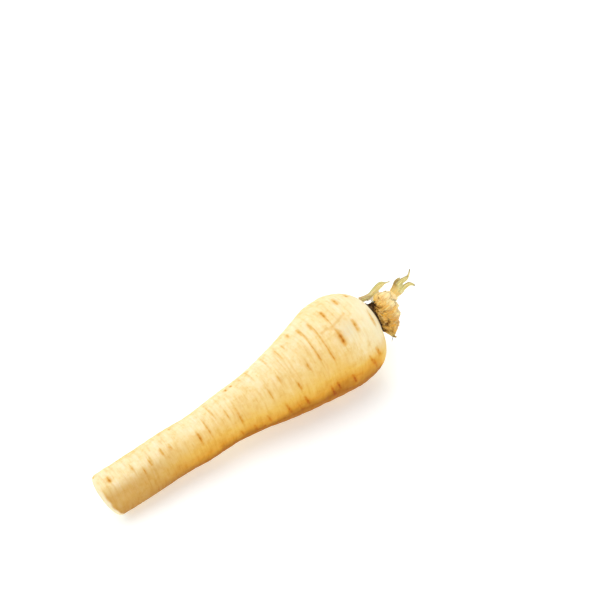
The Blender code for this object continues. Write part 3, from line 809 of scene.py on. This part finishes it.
def make_left_stalk():
    wide = ((0, 2.6), (0.11, 3.2), (0.22, 3.3), (0.4, 3.9), (0.55, 3.8), (0.64, 2.9), (0.72, 1.3),
            (0.85, 0.8), (1, 0.7))
    foot = ((0, 1.6), (0.4, 3.0), (1, 2.0))
    web = ((0, 1.2), (0.5, 2.2), (1, 2.6))
    return joined_piece("leaf_stalk_left_fine", [
        blade(LEFT_STALK, 90, wide, 1.0, 0.12, 4, 1.0, dark_tip=0.35, foot=1.0),
        blade(LEFT_FOOT, 30, foot, 0.9, 0.2, 3, 4.0, dark_tip=0.0, foot=1.0),
        blade(LEFT_WEB, 30, web, 0.4, 0.1, 3, 6.0, pale=1.0, dark_tip=0.0),
        make_peg(LEFT_PEG, 0.9, 1.0),
    ])


def make_right_stalk():
    base = ((0, 6.0), (0.35, 7.8), (0.8, 8.0), (1, 7.0))
    lobe = ((0, 3.0), (0.5, 3.6), (1, 2.0))
    thin = ((0, 4.0), (0.4, 3.1), (0.62, 1.9), (0.8, 1.1), (1, 0.8))
    curled = ((0, 3.2), (0.45, 2.8), (0.7, 1.9), (1, 0.9))
    return joined_piece("leaf_stalk_right_fine", [
        blade(RIGHT_BASE, 50, base, 1.1, 0.12, 7, 2.0, stained=1.0, stain_side=-0.8, dark_tip=0.0,
              foot=1.0, foot_length=2.4),
        blade(RIGHT_LOBE, 50, lobe, 1.2, 0.1, 3, 3.0, stained=1.0, dark_tip=0.5),
        blade(THIN_PRONG, 60, thin, 1.4, 0.1, 4, 5.0, dark_tip=0.9, knot=0.62),
        blade(CURLED_PRONG, 60, curled, 1.3, 0.1, 3, 8.0),
        make_peg(RIGHT_PEG, 1.4, 0.0),
    ])


# The outline of the ring of soil: height over the hollow's floor and radius.
SOIL_OUTLINE = ((GAP, 11.35), (2.6, 11.35), (3.3, 11.4), (4.0, 11.0), (4.6, 10.6), (5.0, 10.2),
                (4.4, 9.9), (3.4, 9.8), (GAP, 9.7))


def make_soil():
    """The ring of soil in the crown's hollow, rough all over, with crumbs on it."""
    segments, steps = 300, 44
    ring = np.array(SOIL_OUTLINE + SOIL_OUTLINE[:1])
    steps_at = np.linspace(0, len(SOIL_OUTLINE), steps, endpoint=False)
    along, radius = (np.interp(steps_at, range(len(ring)), column)[None, :] for column in ring.T)
    turn = np.radians(np.arange(segments)[:, None] * 360 / segments)
    rough = ring_noise(along * 0.8, turn, 8) + 0.7 * ring_noise(along * 2.1, turn, 24)
    shown = ease(along, 2.9, 4.0)
    grid = crown_ring_points(along + 0.8 * rough * shown, radius + 0.5 * rough * shown,
                             np.degrees(turn))
    points, faces = [grid.reshape(-1, 3)], []
    for i in range(segments):
        faces += band_faces(i * steps, (i + 1) % segments * steps, steps)
    start = segments * steps
    chance = random.Random(41)
    for i in range(CRUMBS):
        crumb = bmesh.new()
        bmesh.ops.create_icosphere(crumb, subdivisions=1, radius=chance.uniform(0.25, 0.85))
        angle = 360 * ((i * GOLDEN_TURN) % 1)
        thick = float(bell(turned(angle, SOIL_SIDE), SOIL_SPREAD))
        place = 3.4 + chance.random() * (1.6 + 3.4 * thick)
        away = (10.6 if place < 4.2 else 9.7) + chance.uniform(-0.5, 0.3)
        middle = stub_points(np.array(place), away, angle)
        shape = np.array([vertex.co * chance.uniform(0.75, 1.25) for vertex in crumb.verts])
        faces += [tuple(start + vertex.index for vertex in face.verts) for face in crumb.faces]
        points.append(shape + middle)
        start += len(shape)
        crumb.free()
    return mesh_piece("crown_soil_fine", np.concatenate(points), faces)


def shift_to_frame(pieces):
    """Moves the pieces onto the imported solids, whose box is centred over the origin."""
    low, high = (np.array(corner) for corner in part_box("root"))
    root = pieces[0]
    corners = np.array([vertex.co for vertex in root.data.vertices])
    shift = np.zeros(3)
    shift[0] = low[0] - corners[:, 0].min()
    shift[1] = (low[1] + high[1] - corners[:, 1].min() - corners[:, 1].max()) / 2
    for piece in pieces:
        piece.data.transform(Matrix.Translation(Vector(shift)))
    return shift


class Shading:
    """A material's node tree with short calls for the nodes that it uses."""

    def __init__(self, name):
        self.material = bpy.data.materials.new(name)
        self.material.use_nodes = True
        self.tree = self.material.node_tree
        self.shader = self.tree.nodes["Principled BSDF"]

    def feed(self, socket, value):
        """Sets a number, a vector or a colour on the socket, or links what a node gives."""
        if isinstance(value, (int, float)):
            socket.default_value = value
        elif isinstance(value, tuple):
            socket.default_value = (*value, 1)[:len(socket.default_value)]
        else:
            self.tree.links.new(value, socket)

    def node(self, kind, output, values=None, **settings):
        """The output of a new node that these values are fed to."""
        made = self.tree.nodes.new("ShaderNode" + kind)
        for label, value in settings.items():
            setattr(made, label, value)
        for socket, value in (values or {}).items():
            self.feed(made.inputs[socket], value)
        return made.outputs[output]

    def mask(self, label):
        return self.node("Attribute", "Fac", attribute_name=label)

    def mapped(self, vector, scale):
        return self.node("Mapping", "Vector", {"Vector": vector, "Scale": scale})

    def place(self, scale=(1, 1, 1)):
        return self.mapped(self.node("TexCoord", "Object"), scale)

    def grown(self, labels, scale):
        """A place read from three masks, so that a pattern follows the way a piece grew."""
        masks = {axis: self.mask(label) for axis, label in zip("XYZ", labels)}
        return self.mapped(self.node("CombineXYZ", "Vector", masks), scale)

    def noise(self, scale, detail, roughness, vector=None):
        vector = self.place() if vector is None else vector
        values = {"Scale": scale, "Detail": detail, "Roughness": roughness, "Vector": vector}
        return self.node("TexNoise", "Fac", values)

    def ramp(self, factor, stops):
        """A colour for the factor; a stop is a position and its red, green and blue."""
        colours = self.node("ValToRGB", "Color", {"Fac": factor})
        elements = colours.node.color_ramp.elements
        while len(elements) < len(stops):
            elements.new(0.5)
        for element, (position, *colour) in zip(elements, stops):
            element.position = position
            element.color = (*colour, 1)
        return colours

    def fade(self, factor, low, high, start=0.0, end=1.0):
        values = {"Value": factor, "From Min": low, "From Max": high, "To Min": start, "To Max": end}
        return self.node("MapRange", "Result", values)

    def maths(self, operation, first, second):
        return self.node("Math", "Value", {0: first, 1: second}, operation=operation)

    def times(self, first, second):
        return self.maths("MULTIPLY", first, second)

    def mix(self, factor, first, second, blend="MIX"):
        values = {0: factor, 6: first, 7: second}
        return self.node("Mix", 2, values, data_type="RGBA", blend_type=blend)

    def bump(self, height, distance, strength, normal=None):
        values = {"Height": height, "Distance": distance, "Strength": strength}
        if normal is not None:
            values["Normal"] = normal
        return self.node("Bump", "Normal", values)

    def finish(self, colour, roughness, normal, **values):
        values.update(Base_Color=colour, Roughness=roughness, Normal=normal)
        for label, value in values.items():
            self.feed(self.shader.inputs[label.replace("_", " ")], value)
        return self.material


def skin_material():
    m = Shading("parsnip_skin")
    patches = m.noise(42, 4, 0.55)
    mottle = m.noise(230, 5, 0.68)
    bands = m.noise(1.0, 4, 0.62, m.place((520, 75, 75)))
    # Cream to ochre and brown by the mask low: partly the skin's own tone, partly painted shade,
    # deepest as painted contact shade along the lower edge.
    ground = m.maths("ADD", m.mask("low"), m.fade(patches, 0.3, 0.7, -0.08, 0.08))
    skin = m.ramp(ground, (
        (0.0, 0.91, 0.76, 0.44), (0.05, 0.91, 0.75, 0.41), (0.18, 0.865, 0.635, 0.258),
        (0.41, 0.83, 0.52, 0.11), (0.59, 0.72, 0.35, 0.036), (0.75, 0.38, 0.135, 0.005),
        (1.0, 0.48, 0.20, 0.02)))
    # The colour of the painted shadow near the cut tip, browner where the lower side is deeper.
    tan = m.mix(m.fade(m.mask("low"), 0.35, 0.75), (0.62, 0.36, 0.10), (0.45, 0.24, 0.06))
    skin = m.mix(m.times(m.mask("tan"), 0.85), skin, tan)
    for pattern, start, end, most, colour in (
        (patches, 0.38, 0.66, 0.5, (0.97, 0.90, 0.78)),
        (mottle, 0.48, 0.66, 0.75, (1.03, 1.08, 1.3)),
        (mottle, 0.47, 0.30, 0.75, (0.92, 0.80, 0.58)),
        (bands, 0.50, 0.74, 0.7, (0.88, 0.72, 0.45)),
        (bands, 0.44, 0.26, 0.7, (1.04, 1.12, 1.45)),
    ):
        skin = m.mix(m.fade(pattern, start, end, 0, most), skin, colour, "MULTIPLY")
    rubbed = m.times(m.mask("rubbed"), m.fade(mottle, 0.35, 0.6, 0.25, 0.8))
    skin = m.mix(rubbed, skin, (0.78, 0.68, 0.49))
    # Painted light: paler on part of the dome by the crown's edge.
    skin = m.mix(m.fade(m.mask("rim"), 0, 1, 0, 0.6), skin, (0.96, 0.88, 0.62))
    skin = m.mix(m.fade(m.mask("halo"), 0.12, 1, 0, 0.55), skin, (0.86, 0.62, 0.28), "MULTIPLY")
    threads = m.noise(1.0, 3, 0.6, m.place((2200, 240, 240)))
    brown = m.times(m.mask("brown"), m.fade(threads, 0.35, 0.6, 0.7, 1.35))
    stain = m.ramp(brown, (
        (0.0, 1, 1, 1), (0.3, 0.91, 0.74, 0.44), (0.62, 0.79, 0.49, 0.17), (1.0, 0.50, 0.24, 0.06)))
    skin = m.mix(m.fade(m.mask("crown"), 0.5, 1.0, 0, 0.35), skin, (0.40, 0.20, 0.06))
    flesh = m.ramp(m.mask("cut_share"), (
        (0.0, 0.84, 0.66, 0.34), (0.42, 0.90, 0.78, 0.50), (0.48, 0.76, 0.55, 0.24),
        (0.55, 0.92, 0.82, 0.56), (0.9, 0.93, 0.84, 0.60), (1.0, 0.92, 0.80, 0.52)))
    skin = m.mix(m.mask("cut"), skin, flesh)
    skin = m.mix(1.0, skin, stain, "MULTIPLY")
    rough = m.fade(m.noise(240, 3, 0.6), 0.3, 0.7, 0.48, 0.66)
    pits = m.bump(m.noise(1500, 4, 0.7), 0.00012, 0.45)
    lines = m.bump(m.noise(1.0, 3, 0.6, m.place((1500, 220, 220))), 0.0002, 0.3, pits)
    return m.finish(skin, rough, lines, Subsurface_Weight=0.15, Subsurface_Radius=(1.0, 0.6, 0.2),
                    Subsurface_Scale=0.003, Specular_IOR_Level=0.06)


def stub_material():
    m = Shading("dry_leaf_bases")
    fan = ("height", "fan_y", "fan_z")
    fibres = m.noise(1.0, 4, 0.65, m.grown(fan, (4, 15, 15)))
    bundles = m.noise(1.0, 3, 0.6, m.grown(fan, (2, 4, 4)))
    patches = m.noise(170, 4, 0.6)
    tone = m.maths("ADD", m.times(fibres, 0.6), m.times(bundles, 0.45))
    colour = m.ramp(m.fade(tone, 0.36, 0.68), (
        (0.0, 0.48, 0.18, 0.02), (0.25, 0.88, 0.46, 0.06), (0.55, 0.99, 0.66, 0.17),
        (1.0, 1.0, 0.84, 0.42)))
    # Painted shade: one side of the stub darker and more orange.
    under = m.times(m.fade(m.mask("fan_y"), -0.5, -0.95), 0.6)
    colour = m.mix(under, colour, (1.0, 0.76, 0.34), "MULTIPLY")
    crumbs = m.noise(1200, 4, 0.7)
    # Soil, with painted shade at the stub's foot and in its rents, darkens it to black brown.
    soil = m.times(m.mask("dirt"), m.fade(crumbs, 0.62, 0.45, 0.35, 1.0))
    dark_soil_and_shade = m.mix(m.fade(soil, 0.55, 0.95), (0.32, 0.12, 0.018), (0.040, 0.018, 0.005))
    colour = m.mix(m.fade(soil, 0.0, 0.75), colour, dark_soil_and_shade)
    # Painted light: the stub paler towards its torn end, except on that shaded side.
    upper = m.times(m.fade(m.mask("fan_y"), -0.9, 0.2), m.fade(m.mask("height"), 0.45, 0.75, 0, 0.7))
    colour = m.mix(upper, colour, (1.0, 0.85, 0.52))
    rough = m.fade(patches, 0.3, 0.7, 0.68, 0.88)
    return m.finish(colour, rough, m.bump(fibres, 0.0004, 0.7), Subsurface_Weight=0.12,
                    Subsurface_Radius=(1.0, 0.5, 0.2), Subsurface_Scale=0.001, Specular_IOR_Level=0.06)


def stalk_material(name, upper_edge, foot):
    """The skin of a leaf stalk; the two colours are those of its upper edge and its foot."""
    m = Shading(name)
    strands = m.noise(1.0, 3, 0.6, m.grown(("run", "side", "stain"), (2.2, 3.2, 0.5)))
    patches = m.noise(260, 3, 0.6)
    colour = m.mix(m.fade(strands, 0.38, 0.60), (0.54, 0.44, 0.10), (0.88, 0.76, 0.36))
    colour = m.mix(m.fade(patches, 0.5, 0.75, 0, 0.4), colour, (0.66, 0.46, 0.14))
    colour = m.mix(m.fade(m.mask("side"), 0.55, 0.95, 0, 0.6), colour, (0.92, 0.85, 0.52))
    colour = m.mix(m.fade(m.mask("side"), -0.45, -0.9, 0, 0.75), colour, upper_edge)
    colour = m.mix(m.mask("pale"), colour, (0.97, 0.90, 0.72))
    stain = m.times(m.mask("stain"), m.fade(patches, 0.3, 0.7, 0.65, 1.0))
    colour = m.mix(stain, colour, (0.42, 0.24, 0.05))
    colour = m.mix(m.times(m.mask("foot"), m.fade(strands, 0.42, 0.58, 1.0, 0.45)), colour, foot)
    colour = m.mix(m.times(m.mask("tip"), 0.85), colour, (0.17, 0.13, 0.075))
    rough = m.fade(patches, 0.3, 0.7, 0.45, 0.65)
    return m.finish(colour, rough, m.bump(strands, 0.0003, 0.6), Subsurface_Weight=0.25,
                    Subsurface_Radius=(1.0, 0.8, 0.3), Subsurface_Scale=0.001, Specular_IOR_Level=0.2)


def soil_material():
    m = Shading("crown_soil_dark")
    crumbs = m.noise(1100, 5, 0.7)
    colour = m.ramp(m.fade(crumbs, 0.3, 0.75), (
        (0.0, 0.010, 0.006, 0.003), (0.5, 0.045, 0.022, 0.009), (0.8, 0.13, 0.065, 0.024),
        (1.0, 0.42, 0.25, 0.10)))
    clods = m.noise(420, 2, 0.5)
    colour = m.mix(m.fade(clods, 0.55, 0.64, 0, 0.9), colour, (0.30, 0.16, 0.055))
    rough = m.fade(crumbs, 0.3, 0.7, 0.8, 0.98)
    return m.finish(colour, rough, m.bump(crumbs, 0.0006, 0.9), Specular_IOR_Level=0.1)


def floor_material():
    m = Shading("pale_floor")
    grain = m.noise(30, 2, 0.5)
    colour = m.mix(grain, (0.90, 0.90, 0.90), (0.93, 0.93, 0.93))
    return m.finish(colour, m.fade(grain, 0.3, 0.7, 0.6, 0.7), m.bump(grain, 0.0001, 0.05),
                    Emission_Color=(0.82, 0.96, 1), Emission_Strength=0.31)


def dress(piece, material, node):
    piece.data.materials.append(material)
    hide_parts(node)
    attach(piece, "root")


# Half the floor's side and how far it lies under the part, in metres.
FLOOR_REACH, FLOOR_DROP = 6.0, 0.0001


def make_floor():
    data = bpy.data.meshes.new("floor")
    corners = [(FLOOR_REACH * x, FLOOR_REACH * y, 0) for x, y in ((-1, -1), (1, -1), (1, 1), (-1, 1))]
    data.from_pydata(corners, [], [(0, 1, 2, 3)])
    data.materials.append(floor_material())
    floor = new_object("floor", data)
    floor.location.z = -FLOOR_DROP


# The camera, as fitted to the photograph: it looks down on the root as it lies.
CAMERA_AT = np.array((-171.78, -429.16, 716.87))
CAMERA_AZIMUTH, CAMERA_ELEVATION = -35.77, 49.64
LENS, SENSOR = 85.0, 36.0
# How bright the even world is.
WORLD_STRENGTH = 0.63


def make_camera(shift):
    """Places the camera and gives its directions to the right, up and back."""
    turns = math.radians(90 - CAMERA_ELEVATION), 0, math.radians(CAMERA_AZIMUTH)
    rotation = Euler(turns).to_matrix()
    data = bpy.data.cameras.new("camera")
    data.lens, data.sensor_width = LENS, SENSOR
    camera = new_object("camera", data)
    camera.matrix_world = Matrix.Translation(Vector(CAMERA_AT * MM + shift)) @ rotation.to_4x4()
    bpy.context.scene.camera = camera
    return rotation.col


def make_light(right, up, back):
    """An even pale world and three round lights that point at the root."""
    world = bpy.data.worlds.new("studio")
    world.use_nodes = True
    background = world.node_tree.nodes["Background"]
    background.inputs["Color"].default_value = (1, 1, 1, 1)
    background.inputs["Strength"].default_value = WORLD_STRENGTH
    bpy.context.scene.world = world
    for name, at, size, power, colour in (
        ("key", Vector((-0.25, 0.25, 1.15)) + 0.1 * right, 1.0, 5.6, (1.0, 0.99, 0.97)),
        ("fill", 1.2 * (0.8 * right - 0.35 * up + 0.7 * back), 0.8, 3.2, (1.0, 0.98, 0.95)),
        ("behind", 1.2 * (-0.3 * right + 1.0 * up), 0.9, 4.0, (1.0, 1.0, 1.0)),
    ):
        data = bpy.data.lights.new(name, "AREA")
        data.shape, data.size, data.energy, data.color = "DISK", size, power, colour
        light = new_object(name, data)
        light.location = at
        light.rotation_euler = (-at).to_track_quat("-Z", "Y").to_euler()
    bpy.context.scene.view_settings.view_transform = "Standard"
    bpy.context.scene.view_settings.look = "None"


def main():
    root, stub, soil = make_root(), make_stub(), make_soil()
    left, right = make_left_stalk(), make_right_stalk()
    shift = shift_to_frame([root, stub, soil, left, right])
    dress(root, skin_material(), "root")
    dress(stub, stub_material(), "crown_stub")
    dress(soil, soil_material(), "crown_soil")
    green = stalk_material("leaf_stalk_green", (0.40, 0.40, 0.16), (0.50, 0.34, 0.18))
    dress(left, green, "leaf_stalk_left")
    brown = stalk_material("leaf_stalk_brown", (0.24, 0.175, 0.055), (0.84, 0.58, 0.18))
    dress(right, brown, "leaf_stalk_right")
    make_floor()
    make_light(*make_camera(shift))


main()
